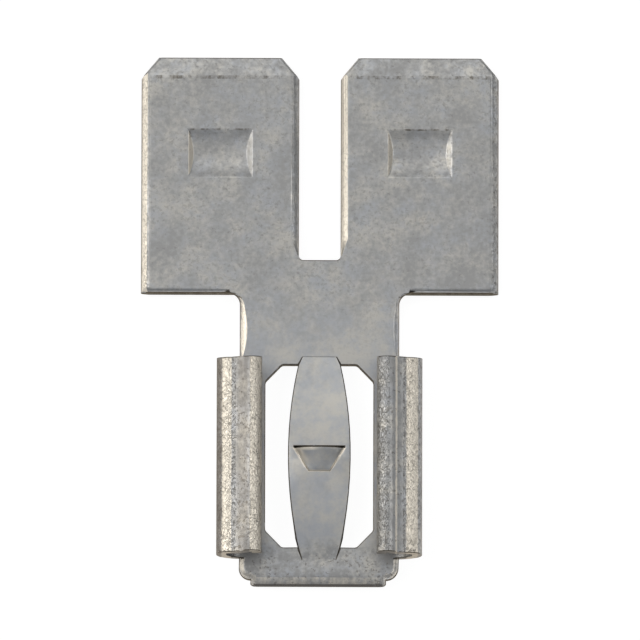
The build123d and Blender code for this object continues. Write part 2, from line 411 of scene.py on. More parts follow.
@dataclass(frozen=True)
class PlatedFace:
    """Matt tin over brass, as it lies on both faces of the sheet, with its painted highlights and painted
    shade.
    """

    name: str = "tin_plate"
    light: tuple = (0.58, 0.565, 0.53, 1.0)
    dark: tuple = (0.38, 0.38, 0.38, 1.0)
    cool: tuple = (0.47, 0.485, 0.51, 1.0)
    # The darkest colour: nicks and cracks, and the painted shade along creases and corners.
    darkest: tuple = (0.10, 0.085, 0.065, 1.0)
    # The colour of the painted highlights, which partly stand for wear of the plating.
    rubbed_and_lit: tuple = (0.88, 0.82, 0.72, 1.0)
    # The colour of the painted shade on steep faces and down the left curl's outer flank.
    painted_shade: tuple = (0.17, 0.14, 0.11, 1.0)
    warm_range: tuple[float, float] = (0.35, 0.65)
    contrast: float = 2.7
    clean_contrast: float = 0.3
    clean_lift: float = 0.6
    rub_and_highlight_hold: float = 0.75
    crease_hold: float = 0.45
    nicks_by_handling: float = 0.28
    nicks_by_curling: float = 0.3
    crack_share: float = 0.75
    rub_and_highlight_crack_share: float = 0.45
    stain_share: float = 0.8
    crease_share: float = 0.85
    painted_shade_share: float = 0.65
    roughness: float = 0.42
    tone_roughness: float = -0.12
    crack_roughness: float = 0.2
    grain_depth: float = 0.002 * MM
    peel_depth: float = 0.013 * MM
    nick_depth: float = 0.006 * MM

    def material(self, effects: SurfaceEffects) -> Material:
        """Build the material.

        Args:
            effects: The shared shader groups.

        Returns:
            The finished material.
        """
        made, graph, place = new_material(self.name)
        marks = {mark: read_mark(graph, mark) for mark in Mark}
        curled = marks[Mark.CURL]
        scuff = graph.larger(graph.use(effects.handling, Place=place)["Mask"], curled)
        clean_part = self.clean_contrast * self.contrast
        contrast = graph.math("MULTIPLY_ADD", scuff, self.contrast - clean_part, clean_part)
        cloud = graph.use(effects.cloud, Place=place, Contrast=contrast)
        peel = graph.use(effects.peel, Place=place, Amount=marks[Mark.PEEL])
        nicks = graph.use(effects.specks, Place=place)
        curl = graph.use(effects.curl, Place=place, Mark=curled)
        lance = graph.use(effects.lance, Place=place)
        # Painted highlights, partly wear of the plating: on the folds, dimples, neck, lip, detent and curls.
        worn_and_lit = graph.larger(marks[Mark.RUB_AND_HIGHLIGHT], curl["Rub and highlight"])
        broken = graph.use(effects.broken, Place=place, Mark=worn_and_lit, Amount=self.rub_and_highlight_hold)
        rub_and_highlight = graph.larger(broken["Mask"], lance["Rub and highlight"])
        line = graph.use(effects.broken, Place=place, Mark=marks[Mark.CREASE], Amount=self.crease_hold)

        tint = graph.blend(graph.ramp(cloud["Warmth"], *self.warm_range), self.cool, self.light)
        clean = graph.math("SUBTRACT", 1.0, scuff, clamp=True)
        tone = graph.math("MULTIPLY_ADD", clean, self.clean_lift, cloud["Tone"], clamp=True)
        colour = graph.blend(tone, self.dark, tint)
        # Lighten the colour by the painted highlights.
        colour = graph.blend(rub_and_highlight, colour, self.rubbed_and_lit)
        handled = graph.product(scuff, self.nicks_by_handling)
        often = graph.math("MULTIPLY_ADD", curled, self.nicks_by_curling, handled)
        nicked = graph.product(nicks["Mask"], often)
        held = graph.math("MULTIPLY_ADD", rub_and_highlight, self.rub_and_highlight_crack_share - self.crack_share, self.crack_share)
        stains = graph.larger(nicked, graph.product(peel["Cracks"], held))
        colour = graph.blend(graph.product(stains, self.stain_share), colour, self.darkest)
        # Darken creases and corners with painted shade, broken up along them.
        colour = graph.blend(graph.product(line["Mask"], self.crease_share), colour, self.darkest)
        # Darken steep faces, the lip's end and the left curl's outer flank with painted shade.
        painted_shade = graph.larger(marks[Mark.STEEP], curl["Painted Shade"])
        colour = graph.blend(graph.product(painted_shade, self.painted_shade_share), colour, self.painted_shade)
        from_middle = graph.math("SUBTRACT", cloud["Tone"], MIDDLE)
        rough = graph.math("MULTIPLY_ADD", from_middle, self.tone_roughness, self.roughness)
        rough = graph.math("MULTIPLY_ADD", peel["Cracks"], self.crack_roughness, rough)
        normal = bump(graph, cloud["Height"], self.grain_depth)
        normal = bump(graph, peel["Height"], self.peel_depth, normal)
        normal = bump(graph, nicked, -self.nick_depth, normal)
        finish_metal(graph, colour, rough, normal)
        return made


@dataclass(frozen=True)
class ShearedWall:
    """The wall that the blanking shear leaves: burnished near one face and torn below. Its dark colours stand
    partly for the bare cut metal and partly for painted shade on the walls.
    """

    name: str = "sheared_wall"
    light: tuple = (0.18, 0.16, 0.13, 1.0)
    dark: tuple = (0.08, 0.07, 0.055, 1.0)
    darkest: tuple = (0.05, 0.04, 0.03, 1.0)
    streak: tuple = (1.0, 1.0, 0.15)
    patch: float = 2.0
    cells: float = 9.0
    nick_density: float = 10.0
    crack_share: float = 0.6
    roughness: float = 0.6
    tone_roughness: float = -0.2
    contrast: float = 1.3
    tear_depth: float = 0.012 * MM

    def material(self, effects: SurfaceEffects) -> Material:
        """Build the material.

        Args:
            effects: The shared shader groups.

        Returns:
            The finished material.
        """
        made, graph, place = new_material(self.name)
        streaks = graph.vector("MULTIPLY", {0: place, 1: self.streak})
        cloud = graph.use(effects.cloud, Place=streaks, Patch=self.patch, Contrast=self.contrast)
        peel = graph.use(effects.peel, Place=place, Cells=self.cells)
        nicks = graph.use(effects.specks, Place=place, Density=self.nick_density)
        colour = graph.blend(cloud["Tone"], self.dark, self.light)
        stains = graph.larger(nicks["Mask"], graph.product(peel["Cracks"], self.crack_share))
        colour = graph.blend(stains, colour, self.darkest)
        rough = graph.math("MULTIPLY_ADD", cloud["Tone"], self.tone_roughness, self.roughness)
        normal = bump(graph, cloud["Height"], self.tear_depth)
        normal = bump(graph, peel["Height"], self.tear_depth, normal)
        finish_metal(graph, colour, rough, normal)
        return made


def clear_graph(owner: Material | bpy.types.World) -> Graph:
    """Give a material or a world an empty node tree.

    Args:
        owner: The material or the world.

    Returns:
        The graph of its tree.
    """
    owner.use_nodes = True
    owner.node_tree.nodes.clear()
    return Graph(owner.node_tree)


def new_material(name: str) -> tuple[Material, Graph, Socket]:
    """Start a material on the terminal.

    Args:
        name: The material's name.

    Returns:
        The material, its graph, and its object coordinates in millimetres.
    """
    made = bpy.data.materials.new(name)
    graph = clear_graph(made)
    place = graph.add("ShaderNodeTexCoord").outputs["Object"]
    return made, graph, graph.vector("SCALE", {0: place, "Scale": 1 / MM})


def read_mark(graph: Graph, mark: Mark) -> Socket:
    """Give a surface mark in a material, as a number from 0 to 1."""
    return graph.add("ShaderNodeAttribute", attribute_name=mark.value).outputs["Fac"]


def bump(graph: Graph, height: object, depth: float, below: object = None) -> Socket:
    """Add a Bump node.

    Args:
        graph: The material's graph.
        height: The height's socket, from 0 to 1.
        depth: Height in metres at 1; negative presses it in.
        below: The normal it is added to, if any.

    Returns:
        The new normal's socket.
    """
    inputs = {"Height": height, "Distance": abs(depth), "Strength": 1.0}
    if below is not None:
        inputs["Normal"] = below
    return graph.add("ShaderNodeBump", inputs, invert=depth < 0).outputs[0]


def finish_metal(graph: Graph, colour: object, rough: object, normal: object) -> None:
    """Add the metal's shader and the output.

    Args:
        graph: The material's graph.
        colour: The base colour's socket.
        rough: The roughness's socket.
        normal: The normal's socket.
    """
    inputs = {"Base Color": colour, "Metallic": 1.0, "Roughness": rough, "Normal": normal}
    inputs["Specular Tint"] = GRAZING_TINT
    shader = graph.add("ShaderNodeBsdfPrincipled", inputs)
    graph.add("ShaderNodeOutputMaterial", {"Surface": shader.outputs[0]})


@dataclass
class Feature:
    """One feature of the sheet, between two places along the terminal."""

    low: float
    high: float
    wall_tilt: float = 0.35
    corner_dark: float = 0.85
    painted_shade_below: float = 0.55
    peel_from: float = 1.0
    peel_rise: float = 0.0
    peel_least: float = 0.0
    peel_most: float = 1.0

    def holds(self, place: Vector) -> bool:
        """Say whether a place lies along this feature."""
        return self.low <= place.y < self.high

    def shape(self, points: Points) -> None:
        """Leave the feature as the frame gives it; a feature with shape of its own adds it here."""

    def crisp(self, place: Vector) -> bool:
        """Say whether the corners at a place stay as sharp as the frame gives them."""
        return False

    def pressed(self, place: Vector) -> bool:
        """Say whether a corner at a place is a crease that a die pressed in."""
        return False

    def soft(self, place: Vector) -> float:
        """Give the wider rounding of a corner that is drawn over, or 0 for the others."""
        return 0.0

    def crease(self, place: Vector) -> float:
        """Say how much painted shade darkens a corner at a place, from 0 to 1."""
        return self.corner_dark

    def rim(self, place: Vector) -> float:
        """Say how much painted highlight a corner at a place takes, from 0 to 1."""
        return 0.0

    def curled(self, centre: Vector) -> bool:
        """Say whether a face bears the curling die's bands of wear."""
        return False

    def sheared(self, centre: Vector, normal: Vector) -> bool:
        """Say whether a face is a sheared wall: it stands across the sheet's flat floor."""
        return abs(normal.z) < self.wall_tilt

    def bent(self, upright: float) -> float:
        """Say how cracked a bend is, by the upright part of its normal."""
        return min(self.peel_most, self.peel_least + max(0.0, (self.peel_from - upright) * self.peel_rise))

    def peel(self, centre: Vector, normal: Vector) -> float:
        """Say how strongly the plating of a face is cracked, from 0 to 1."""
        return 0.0

    def rubbed_and_lit(self, centre: Vector, normal: Vector) -> float:
        """Say how much a face is lightened, from 0 to 1: painted highlight, partly wear of the plating."""
        return 0.0

    def painted_shade_from(self, centre: Vector) -> float:
        """Give the upright part of a normal below which a face takes painted shade."""
        return self.painted_shade_below


@dataclass
class Tabs(Feature):
    """The two male tabs, folded double at their outer edges."""

    low: float = 1.0 * MM
    high: float = 11.0 * MM
    centre: float = 3.98 * MM
    half_width: float = 3.15 * MM
    fold_start: float = 6.6 * MM
    fold_crest: float = 6.88 * MM
    fold_turn: float = 0.3
    tip: float = 10.69 * MM
    tip_reach: float = 0.4 * MM
    tip_bow: float = 0.06 * MM
    corner_foot: float = 9.82 * MM
    corner_start: float = 2.9 * MM
    tip_crease: float = 9.85 * MM
    crease_reach: float = 0.12 * MM
    crease_dark: float = 0.63
    crease_round: float = 0.07 * MM
    slot_round: float = 1.2 * MM
    slot_corner: float = 0.95 * MM
    slot_end: tuple[float, float] = (2.55 * MM, 2.8 * MM)
    front_layer: float = 0.45 * MM
    front_edge: float = 0.6 * MM
    edge_start: float = 3.1 * MM
    foot: float = 1.16 * MM
    foot_start: float = 3.4 * MM
    foot_reach: float = 0.3 * MM
    foot_dark: float = 0.3
    foot_round: float = 0.2 * MM
    dimple_place: float = 6.77 * MM
    dimple_half: tuple[float, float] = (1.5 * MM, 1.1 * MM)
    dimple_upper: float = 0.7 * MM
    dimple_dark: float = 0.65
    dimple_end: float = 0.5
    edge_turn: float = -0.15
    edge_highlight: float = 0.52
    peel_from: float = 0.995
    peel_rise: float = 8.0
    slot_turn: tuple[float, float] = (0.04, 0.98)
    slot_peel: float = 0.5

    def shape(self, points: Points) -> None:
        """Bow the tips, whose corners the shear has dragged back a little.

        Args:
            points: The feature's points.
        """
        for point in points:
            near = max(0.0, 1 - (self.tip - point.co.y) / self.tip_reach)
            across = (abs(point.co.x) - self.centre) / self.half_width
            point.co.y -= self.tip_bow * near * across * across

    def _from_middle(self, place: Vector) -> float:
        """Give the distance across from a tab's middle."""
        return abs(abs(place.x) - self.centre)

    def _beside_slot(self, place: Vector) -> bool:
        """Say whether a place is on the front layer's round edge beside the slot."""
        return abs(place.x) < self.slot_round and place.z > self.front_layer

    def _in_dimple(self, place: Vector) -> bool:
        """Say whether a place is in or at the rim of a dimple.

        Args:
            place: The place.

        Returns:
            True on the front layer, within the dimple's sides and ends.
        """
        across, along = self.dimple_half
        beside = self._from_middle(place) < across and abs(place.y - self.dimple_place) < along
        return beside and place.z > self.front_layer

    def crisp(self, place: Vector) -> bool:
        """Say whether the corners at a place stay as sharp as the frame gives them.

        Args:
            place: The place.

        Returns:
            True at the tip's corners and the slot's end, which are round already.
        """
        near = abs(place.y - self.corner_foot) < self.crease_reach
        low, high = self.slot_end
        at_slot = abs(place.x) < self.slot_corner and low < place.y < high
        return at_slot or (near and self._from_middle(place) > self.corner_start)

    def sheared(self, centre: Vector, normal: Vector) -> bool:
        """Say whether a face is a sheared wall.

        Args:
            centre: The face's centre.
            normal: The face's normal.

        Returns:
            True for the ends and the slot's sides, and False for the folds and the slot's round edge.
        """
        if abs(centre.x) > self.fold_start and abs(normal.y) < self.fold_turn:
            return False
        if self._beside_slot(centre) and normal.z > self.slot_turn[0]:
            return False
        return super().sheared(centre, normal)

    def pressed(self, place: Vector) -> bool:
        """Say whether a corner is the rim of a dimple."""
        return self._in_dimple(place)

    def soft(self, place: Vector) -> float:
        """Give the wider rounding of a corner that is drawn over.

        Args:
            place: The corner's place.

        Returns:
            The rounding of a tip's front crease or of a foot's front edge, and 0 for the others.
        """
        if place.z < self.front_edge or self._from_middle(place) > self.edge_start:
            return 0.0
        if abs(place.y - self.foot) < NEAR and abs(place.x) > self.foot_start:
            return self.foot_round
        return self.crease_round if abs(place.y - self.tip_crease) < NEAR else 0.0

    def crease(self, place: Vector) -> float:
        """Say how much painted shade darkens a corner at a place, from 0 to 1.

        Args:
            place: The corner's place.

        Returns:
            Less at a dimple's rim, a tip's crease and a foot than elsewhere.
        """
        if self._in_dimple(place):
            # Painted shade on a dimple's upper rim, and none on its lower rim.
            return self.dimple_dark if place.y > self.dimple_place + self.dimple_upper else 0.0
        if place.z > self.front_edge and abs(place.y - self.tip_crease) < self.crease_reach:
            return self.crease_dark
        return self.foot_dark if abs(place.y - self.foot) < self.foot_reach else self.corner_dark

    def rubbed_and_lit(self, centre: Vector, normal: Vector) -> float:
        """Say how much painted highlight a face takes, from 0 to 1.

        Args:
            centre: The face's centre.
            normal: The face's normal.

        Returns:
            Most on a dimple's left end wall, which faces right, some along each tab's left edge, and 0
            elsewhere.
        """
        if self._in_dimple(centre):
            # The dimple's left end wall takes the painted highlight.
            return 1.0 if normal.x > self.dimple_end else 0.0
        # Only left-facing edges take the painted highlight.
        if normal.x > self.edge_turn or normal.z < FACES_FRONT:
            return 0.0
        on_fold = abs(centre.x) > self.fold_crest and centre.y < self.corner_foot - CLEAR
        return self.edge_highlight if on_fold or self._beside_slot(centre) else 0.0

    def peel(self, centre: Vector, normal: Vector) -> float:
        """Say how strongly the plating of a face is cracked, from 0 to 1.

        Args:
            centre: The face's centre.
            normal: The face's normal.

        Returns:
            Most round the folds, less beside the slot, and 0 elsewhere.
        """
        if abs(centre.x) > self.fold_start:
            return self.bent(abs(normal.z))
        return self.slot_peel if self._beside_slot(centre) and normal.z < self.slot_turn[1] else 0.0


@dataclass
class Neck(Feature):
    """The neck, whose sides are rolled off towards the front and are sheared only at their steep foot."""

    low: float = -1.61 * MM
    high: float = 1.0 * MM
    wall_tilt: float = 0.2
    roll_turn: float = -0.1
    roll_highlight: float = 0.9
    peel_from: float = 0.98
    peel_rise: float = 3.0
    peel_most: float = 0.5

    def rubbed_and_lit(self, centre: Vector, normal: Vector) -> float:
        """Say how much painted highlight a face takes: only where the left side rolls off."""
        return self.roll_highlight if normal.x < self.roll_turn and normal.z > FACES_FRONT else 0.0

    def peel(self, centre: Vector, normal: Vector) -> float:
        """Say how cracked a face is: a little, where it rolls off."""
        return self.bent(normal.z)


@dataclass
class Receptacle(Feature):
    """The floor with its curled sides, the window and the sprung tongue."""

    low: float = -9.541 * MM
    high: float = -1.61 * MM
    floor_side: float = 2.2 * MM
    floor_top: float = 0.8 * MM
    curl_rise: float = 1.8 * MM
    curl_painted_shade: float = 0.35
    free_edge: tuple[float, float] = (1.8 * MM, 1.9 * MM)
    edge_down: float = -0.9
    end_reach: float = 0.5 * MM
    end_drag: float = 0.05 * MM
    right_drag: float = 0.03 * MM
    crest_height: float = 1.6 * MM
    valley: tuple[float, float] = (2.95 * MM, 3.5 * MM)
    valley_height: tuple[float, float] = (2.54 * MM, 2.21 * MM)
    valley_low: float = 2.0 * MM
    valley_sag: float = 0.03 * MM
    smooth_band: tuple[float, float] = (2.8 * MM, 3.33 * MM)
    smooth_peel: float = 0.12
    lance: float = -5.165 * MM
    lance_gap: float = 0.06 * MM
    lance_reach: float = 1.0 * MM
    detent_height: float = 0.9 * MM

    def shape(self, points: Points) -> None:
        """Ease the step across the curls and draw their ends back a little, as the curling die does.

        Args:
            points: The feature's points.
        """
        middle = (self.low + self.high) / 2
        inner, outer = self.valley
        top, bottom = self.valley_height
        for point in points:
            if abs(point.co.x) < self.floor_side:
                continue
            from_end = self.high - middle - abs(point.co.y - middle)
            near = max(0.0, 1 - from_end / self.end_reach)
            lift = min(1.0, max(0.0, (point.co.z - self.floor_top) / self.curl_rise))
            drag = self.end_drag if point.co.x < 0 else self.right_drag
            point.co.y += math.copysign(drag * near * lift, middle - point.co.y)
            share = (abs(point.co.x) - inner) / (outer - inner)
            if 0 < share < 1 and point.co.z > self.valley_low:
                eased = top + (bottom - top) * share - self.valley_sag * math.sin(math.pi * share)
                point.co.z = max(point.co.z, eased)

    def _at_detent(self, place: Vector) -> bool:
        """Say whether a place is on the detent, short of its lanced edge."""
        along = self.lance - place.y
        return abs(place.x) < self.lance_reach and self.lance_gap < along < self.lance_reach

    def sheared(self, centre: Vector, normal: Vector) -> bool:
        """Say whether a face is a sheared wall.

        Args:
            centre: The face's centre.
            normal: The face's normal.

        Returns:
            True for the curls' free edges, and the window's and the tongue's walls.
        """
        if abs(centre.x) > self.floor_side:
            low, high = self.free_edge
            return normal.z < self.edge_down and low < centre.z < high
        return not self._at_detent(centre) and super().sheared(centre, normal)

    def peel(self, centre: Vector, normal: Vector) -> float:
        """Say how strongly the plating of a face is cracked, from 0 to 1.

        Args:
            centre: The face's centre.
            normal: The face's normal; not used.

        Returns:
            Most on the curls, little on the smooth band along them, and 0 on the floor.
        """
        across = abs(centre.x)
        if across < self.floor_side:
            return 0.0
        low, high = self.smooth_band
        if low < across < high:
            return self.smooth_peel
        return 1.0 if centre.z > self.crest_height or across > high else 0.0

    def rim(self, place: Vector) -> float:
        """Say how much painted highlight a corner takes: only round the detent."""
        return 1.0 if self._at_detent(place) and place.z > self.detent_height else 0.0

    def crease(self, place: Vector) -> float:
        """Say how much painted shade darkens a corner: none along the detent's sides."""
        return 0.0 if self.rim(place) else self.corner_dark

    def curled(self, centre: Vector) -> bool:
        """Say whether a face is on the outside of a curl."""
        return abs(centre.x) > self.floor_side and centre.z > self.crest_height

    def painted_shade_from(self, centre: Vector) -> float:
        """Give the upright part of a normal below which a face takes painted shade: low on the curls."""
        return self.curl_painted_shade if abs(centre.x) > self.floor_side else self.painted_shade_below


@dataclass
class Mouth(Feature):
    """The mouth and its turned-down lip."""

    low: float = -11.0 * MM
    high: float = -9.541 * MM
    lean: float = -0.03 * MM
    lip_corner: float = 2.55 * MM
    shoulder: float = -9.9 * MM
    lip_end: float = -10.58 * MM
    lip_turn: tuple[float, float] = (0.3, 0.97)
    lip_rub: float = 0.36
    peel_front: float = 0.2
    peel_from: float = 0.99
    peel_rise: float = 2.0
    peel_least: float = 0.1
    peel_most: float = 0.6
    # The lip's end takes painted shade on all its faces and its corners.
    end_painted_shade: float = 1.4
    end_dark: float = 1.0

    def shape(self, points: Points) -> None:
        """Set the lip a little to the left, where the stock's edge lay."""
        for point in points:
            point.co.x += self.lean * min(1.0, (self.high - point.co.y) / MM)

    def crisp(self, place: Vector) -> bool:
        """Say whether a place is at the mouth's rounded corners, which are round already."""
        return abs(place.x) > self.lip_corner and place.y < self.shoulder

    def peel(self, centre: Vector, normal: Vector) -> float:
        """Say how cracked a face is: more towards the lip and round the corners."""
        return self.bent(normal.z) if normal.z >= self.peel_front else 0.0

    def rubbed_and_lit(self, centre: Vector, normal: Vector) -> float:
        """Say how much a face is lightened: a little, where the lip turns down."""
        low, high = self.lip_turn
        return self.lip_rub if low < normal.z < high and centre.y > self.lip_end else 0.0

    def painted_shade_from(self, centre: Vector) -> float:
        """Give the upright part of a normal below which a face takes painted shade: all of the lip's end."""
        return self.painted_shade_below if centre.y > self.lip_end else self.end_painted_shade

    def crease(self, place: Vector) -> float:
        """Say how much painted shade darkens a corner: most along the lip's end."""
        return self.end_dark if place.y < self.lip_end else self.corner_dark


@dataclass
class MarkTree:
    """Geometry Nodes that mark how steep each face is, for its painted shade, make its cracks patchy and lay
    on the finishes.
    """

    steep_reach: float = 0.4
    patch_scale: float = 1400.0
    patch_share: float = 0.35
    seed: float = 7.0
    name: str = "Sheet marks"
    inputs: dict = field(default_factory=dict)

    def build(self, plated: Material, sheared: Material) -> Tree:
        """Build the tree.

        Args:
            plated: Finish of the sheet's faces.
            sheared: Finish of its sheared walls.

        Returns:
            The tree, whose inputs are named in self.inputs with the values of this dataclass.
        """
        self.inputs = {
            "Steep Reach": self.steep_reach,
            "Patch Scale": self.patch_scale,
            "Patch Share": self.patch_share,
            "Seed": self.seed,
        }
        graph = Group(self.name, "GeometryNodeTree", ("Geometry", "NodeSocketGeometry"), self.inputs)
        ends = graph.inputs
        normal = graph.add("GeometryNodeInputNormal").outputs[0]
        upright = graph.part(normal, 2)
        start = self._read(graph, Mark.STEEP)
        end = graph.math("SUBTRACT", start, ends["Steep Reach"])
        steep = graph.ramp(graph.math("ABSOLUTE", upright), start, end)
        place = graph.add("GeometryNodeInputPosition").outputs[0]
        inputs = {"Vector": place, "W": ends["Seed"], "Scale": ends["Patch Scale"], "Detail": 1.0}
        patch = graph.add("ShaderNodeTexNoise", inputs, noise_dimensions="4D")
        patchy = graph.math("MULTIPLY_ADD", patch.outputs[0], ends["Patch Share"], 1.0)
        less = graph.math("SUBTRACT", patchy, ends["Patch Share"])
        peel = graph.math("MULTIPLY", self._read(graph, Mark.PEEL), less, clamp=True)

        marked = self._store(graph, ends["Geometry"], Mark.STEEP, steep)
        marked = self._store(graph, marked, Mark.PEEL, peel)
        real = graph.add("GeometryNodeRealizeInstances", {0: marked})
        faces = graph.add("GeometryNodeSetMaterial", {"Geometry": real.outputs[0], "Material": plated})
        is_wall = graph.math("GREATER_THAN", self._read(graph, Mark.WALL), MIDDLE)
        inputs = {"Geometry": faces.outputs[0], "Selection": is_wall, "Material": sheared}
        walls = graph.add("GeometryNodeSetMaterial", inputs)
        return graph.close({"Geometry": walls.outputs[0]}, "NodeSocketGeometry")

    @staticmethod
    def _read(graph: Graph, mark: Mark) -> Socket:
        """Read a named mark of the geometry."""
        node = graph.add("GeometryNodeInputNamedAttribute", {"Name": mark.value}, data_type="FLOAT")
        return node.outputs[0]

    @staticmethod
    def _store(graph: Graph, geometry: object, mark: Mark, value: object) -> Socket:
        """Store a named mark on the geometry's faces.

        Args:
            graph: The tree's graph.
            geometry: The geometry's socket.
            mark: The mark to store.
            value: Its value's socket.

        Returns:
            The marked geometry's socket.
        """
        inputs = {"Geometry": geometry, "Name": mark.value, "Value": value}
        node = graph.add("GeometryNodeStoreNamedAttribute", inputs, data_type="FLOAT", domain="FACE")
        return node.outputs[0]


def bake(piece: bpy.types.Object) -> None:
    """Turn a piece's modifiers into its plain mesh.

    Args:
        piece: The piece, whose mesh is replaced.
    """
    graph = bpy.context.evaluated_depsgraph_get()
    done = piece.evaluated_get(graph)
    mesh = bpy.data.meshes.new_from_object(done, preserve_all_data_layers=True, depsgraph=graph)
    piece.modifiers.clear()
    piece.data = mesh


@dataclass
class TerminalSheet:
    """The folded sheet as one smooth piece."""

    features: tuple[Feature, ...] = (Tabs(), Neck(), Receptacle(), Mouth())
    weld: float = 0.006 * MM
    flat_angle: float = math.radians(0.3)
    corner_angle: float = math.radians(32)
    crease_angle: float = math.radians(9)
    corner_round: float = 0.04 * MM
    corner_steps: int = 3
    corner_slack: float = 0.045 * MM
    upright_share: float = 0.8
    seam: tuple[float, float] = (0.36 * MM, 0.44 * MM)
    name: str = "terminal_sheet"

    def build(self, effects: SurfaceEffects) -> bpy.types.Object:
        """Build the piece over the frame's node.

        Args:
            effects: The shared shader groups.

        Returns:
            The piece, in place.
        """
        mesh = bmesh.new()
        mesh.from_mesh(frame["nodes"][NODE].data)
        mesh.transform(Matrix.Scale(1 / MM, 4))
        self._weld(mesh)
        self._round_corners(mesh)
        mesh.transform(Matrix.Scale(MM, 4))
        for feature in self.features:
            feature.shape([v for v in mesh.verts if feature.holds(v.co)])
        self._mark_faces(mesh)
        data = bpy.data.meshes.new(self.name)
        mesh.to_mesh(data)
        mesh.free()
        piece = bpy.data.objects.new(self.name, data)
        bpy.context.scene.collection.objects.link(piece)
        self._finish(piece, effects)
        log.info("%s: %d faces", self.name, len(piece.data.polygons))
        return piece

    def _weld(self, mesh: bmesh.types.BMesh) -> None:
        """Merge the node's loose triangles and dissolve the flat ones, in millimetres."""
        bmesh.ops.remove_doubles(mesh, verts=mesh.verts, dist=self.weld / MM)
        bmesh.ops.dissolve_limit(mesh, angle_limit=self.flat_angle, verts=mesh.verts, edges=mesh.edges)

    def _round_corners(self, mesh: bmesh.types.BMesh) -> None:
        """Round the sheet's sharp corners a little and mark them, in millimetres.

        Args:
            mesh: The welded mesh.
        """
        before = BVHTree.FromBMesh(mesh)
        soft: dict[float, list] = {}
        corners = []
        for edge in mesh.edges:
            if len(edge.link_faces) != 2:
                continue
            middle = (edge.verts[0].co + edge.verts[1].co) / 2 * MM
            feature = self._feature(middle)
            radius = feature.soft(middle)
            if radius and edge.calc_face_angle(0.0) > self.crease_angle:
                soft.setdefault(radius, []).append(edge)
            elif self._rounded(edge, feature, middle):
                corners.append(edge)
        mesh.faces.layers.float.new(Mark.CREASE.value)
        mesh.faces.layers.float.new(Mark.RUB_AND_HIGHLIGHT.value)
        self._bevel(mesh, corners, self.corner_round, before)
        for radius, edges in soft.items():
            self._bevel(mesh, [edge for edge in edges if edge.is_valid], radius, before)

    def _bevel(self, mesh: bmesh.types.BMesh, edges: list, radius: float, before: BVHTree) -> None:
        """Round some edges and mark them as their features say, in millimetres.

        Args:
            mesh: The welded mesh.
            edges: The edges.
            radius: How far the rounding reaches from them, in metres.
            before: The surface as it was, which the rounded one stays close to.
        """
        reach = {"offset": radius / MM, "offset_type": "OFFSET", "clamp_overlap": False}
        way = {"segments": self.corner_steps, "profile": 0.5, "affect": "EDGES"}
        result = bmesh.ops.bevel(mesh, geom=edges, **reach, **way)
        creases = mesh.faces.layers.float[Mark.CREASE.value]
        rims = mesh.faces.layers.float[Mark.RUB_AND_HIGHLIGHT.value]
        for face in result["faces"]:
            centre = face.calc_center_median() * MM
            feature = self._feature(centre)
            # Each rounded corner takes its feature's painted shade and painted highlight.
            face[creases] = feature.crease(centre)
            face[rims] = feature.rim(centre)
        slack = max(self.corner_slack, radius / 2) / MM
        for vert in result["verts"]:
            place, _, _, gap = before.find_nearest(vert.co)
            if gap > slack:
                vert.co = place

    def _rounded(self, edge: bmesh.types.BMEdge, feature: Feature, middle: Vector) -> bool:
        """Say whether an edge is a corner or a pressed crease that is rounded.

        Args:
            edge: The edge, in millimetres.
            feature: The feature that it lies along.
            middle: Its middle, in metres.

        Returns:
            False in the seam, for the plan's own corners and where the feature stays crisp.
        """
        low, high = self.seam
        if all(low < vert.co.z * MM < high for vert in edge.verts):
            return False
        run = edge.verts[1].co - edge.verts[0].co
        if abs(run.z) > self.upright_share * run.length:
            return False
        limit = self.crease_angle if feature.pressed(middle) else self.corner_angle
        return edge.calc_face_angle(0.0) > limit and not feature.crisp(middle)

    def _feature(self, place: Vector) -> Feature:
        """Give the feature that a place lies along."""
        return next(feature for feature in self.features if feature.holds(place))

    def _mark_faces(self, mesh: bmesh.types.BMesh) -> None:
        """Mark each face as its feature says and shade it smooth.

        Args:
            mesh: The rounded mesh.
        """
        walls = mesh.faces.layers.float.new(Mark.WALL.value)
        peels = mesh.faces.layers.float.new(Mark.PEEL.value)
        highlights_and_rubs = mesh.faces.layers.float[Mark.RUB_AND_HIGHLIGHT.value]
        curls = mesh.faces.layers.float.new(Mark.CURL.value)
        steeps = mesh.faces.layers.float.new(Mark.STEEP.value)
        mesh.normal_update()
        for face in mesh.faces:
            face.smooth = True
            centre = face.calc_center_median()
            feature = self._feature(centre)
            face[walls] = float(feature.sheared(centre, face.normal))
            face[peels] = feature.peel(centre, face.normal)
            face[highlights_and_rubs] = max(face[highlights_and_rubs], feature.rubbed_and_lit(centre, face.normal))
            face[curls] = float(feature.curled(centre))
            face[steeps] = feature.painted_shade_from(centre)

    def _finish(self, piece: bpy.types.Object, effects: SurfaceEffects) -> None:
        """Mark the piece by Geometry Nodes, weigh its normals and give it its finishes.

        Args:
            piece: The piece with its plain mesh.
            effects: The shared shader groups.
        """
        marks = MarkTree()
        tree = marks.build(PlatedFace().material(effects), ShearedWall().material(effects))
        modifier = piece.modifiers.new(marks.name, "NODES")
        modifier.node_group = tree
        for item in tree.interface.items_tree:
            if item.in_out == IN and item.name in marks.inputs:
                modifier[item.identifier] = marks.inputs[item.name]
        bake(piece)
        piece.data.set_sharp_from_angle(angle=self.corner_angle)
        weighted = piece.modifiers.new("Weighted normals", "WEIGHTED_NORMAL")
        weighted.keep_sharp = True
        bake(piece)


